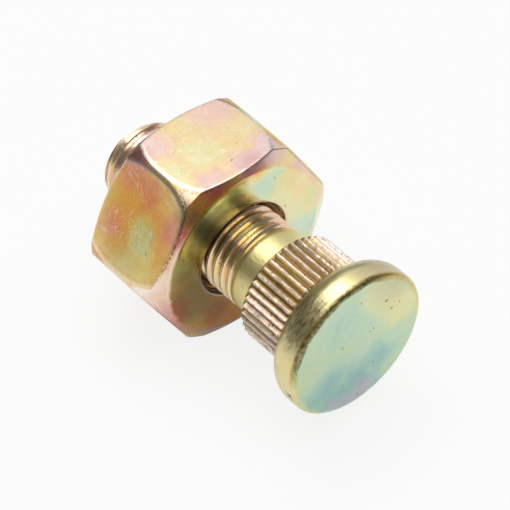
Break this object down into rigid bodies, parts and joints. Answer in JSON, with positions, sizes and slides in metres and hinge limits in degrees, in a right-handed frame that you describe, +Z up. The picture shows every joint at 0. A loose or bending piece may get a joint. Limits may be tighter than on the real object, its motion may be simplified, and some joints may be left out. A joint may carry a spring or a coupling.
{
  "type": "wheel stud with nut",
  "caption": "Press-in wheel stud: round forged head, straight-knurled neck, plain shank and fine thread, with a heavy chamfered hex nut run part way on.",
  "frame": {"origin": "centre of the head's seat plane, on the stud's axis", "axes": "+X along the stud's axis from the head to the threaded point, +Z up, square to the nut's top flat; the nut lies on its opposite flat"},
  "size_m": [0.0492, 0.0344, 0.03],
  "materials": {
    "stud_finish": "yellow zinc passivate on steel, mint to olive with pink-bronze ribs",
    "nut_finish": "yellow zinc passivate on steel, straw to gold with rose patches"
  },
  "bodies": {
    "stud": {"stud": "stud_finish"},
    "nut": {"nut": "nut_finish"}
  },
  "joints": [
    {"name": "nut_travel", "type": "slide", "parent": "stud", "child": "nut", "axis": [1, 0, 0], "range_m": [-0.005, 0.026]}
  ]
}
